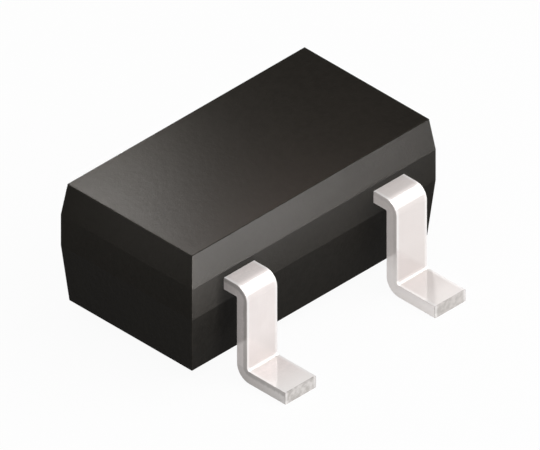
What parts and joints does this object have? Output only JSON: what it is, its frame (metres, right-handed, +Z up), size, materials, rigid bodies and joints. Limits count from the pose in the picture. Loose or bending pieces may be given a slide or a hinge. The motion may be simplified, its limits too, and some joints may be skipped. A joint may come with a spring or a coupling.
{
  "type": "sot-23 transistor",
  "caption": "Small black moulded surface-mount transistor: drafted rectangular case with silvery gull-wing leads, chip, bond wires and lead frame modelled inside.",
  "frame": {"origin": "centre of the seating plane: under the middle of the case, level with the soles of the leads", "axes": "+X along the case's length from the base lead to the emitter lead, +Y towards the collector lead, +Z up from the seating plane to the flat top"},
  "size_m": [0.0032, 0.0032, 0.0014],
  "materials": {
    "moulding_compound": "satin",
    "tin_plated_lead": "satin",
    "silicon": "polished",
    "silver_adhesive": "matte",
    "gold_wire": "gloss"
  },
  "bodies": {
    "root": {"moulded_body": "moulding_compound", "lead_base": "tin_plated_lead", "lead_emitter": "tin_plated_lead", "lead_collector": "tin_plated_lead", "die": "silicon", "die_attach": "silver_adhesive", "base_bond_wire": "gold_wire", "emitter_bond_wire": "gold_wire"}
  },
  "joints": []
}
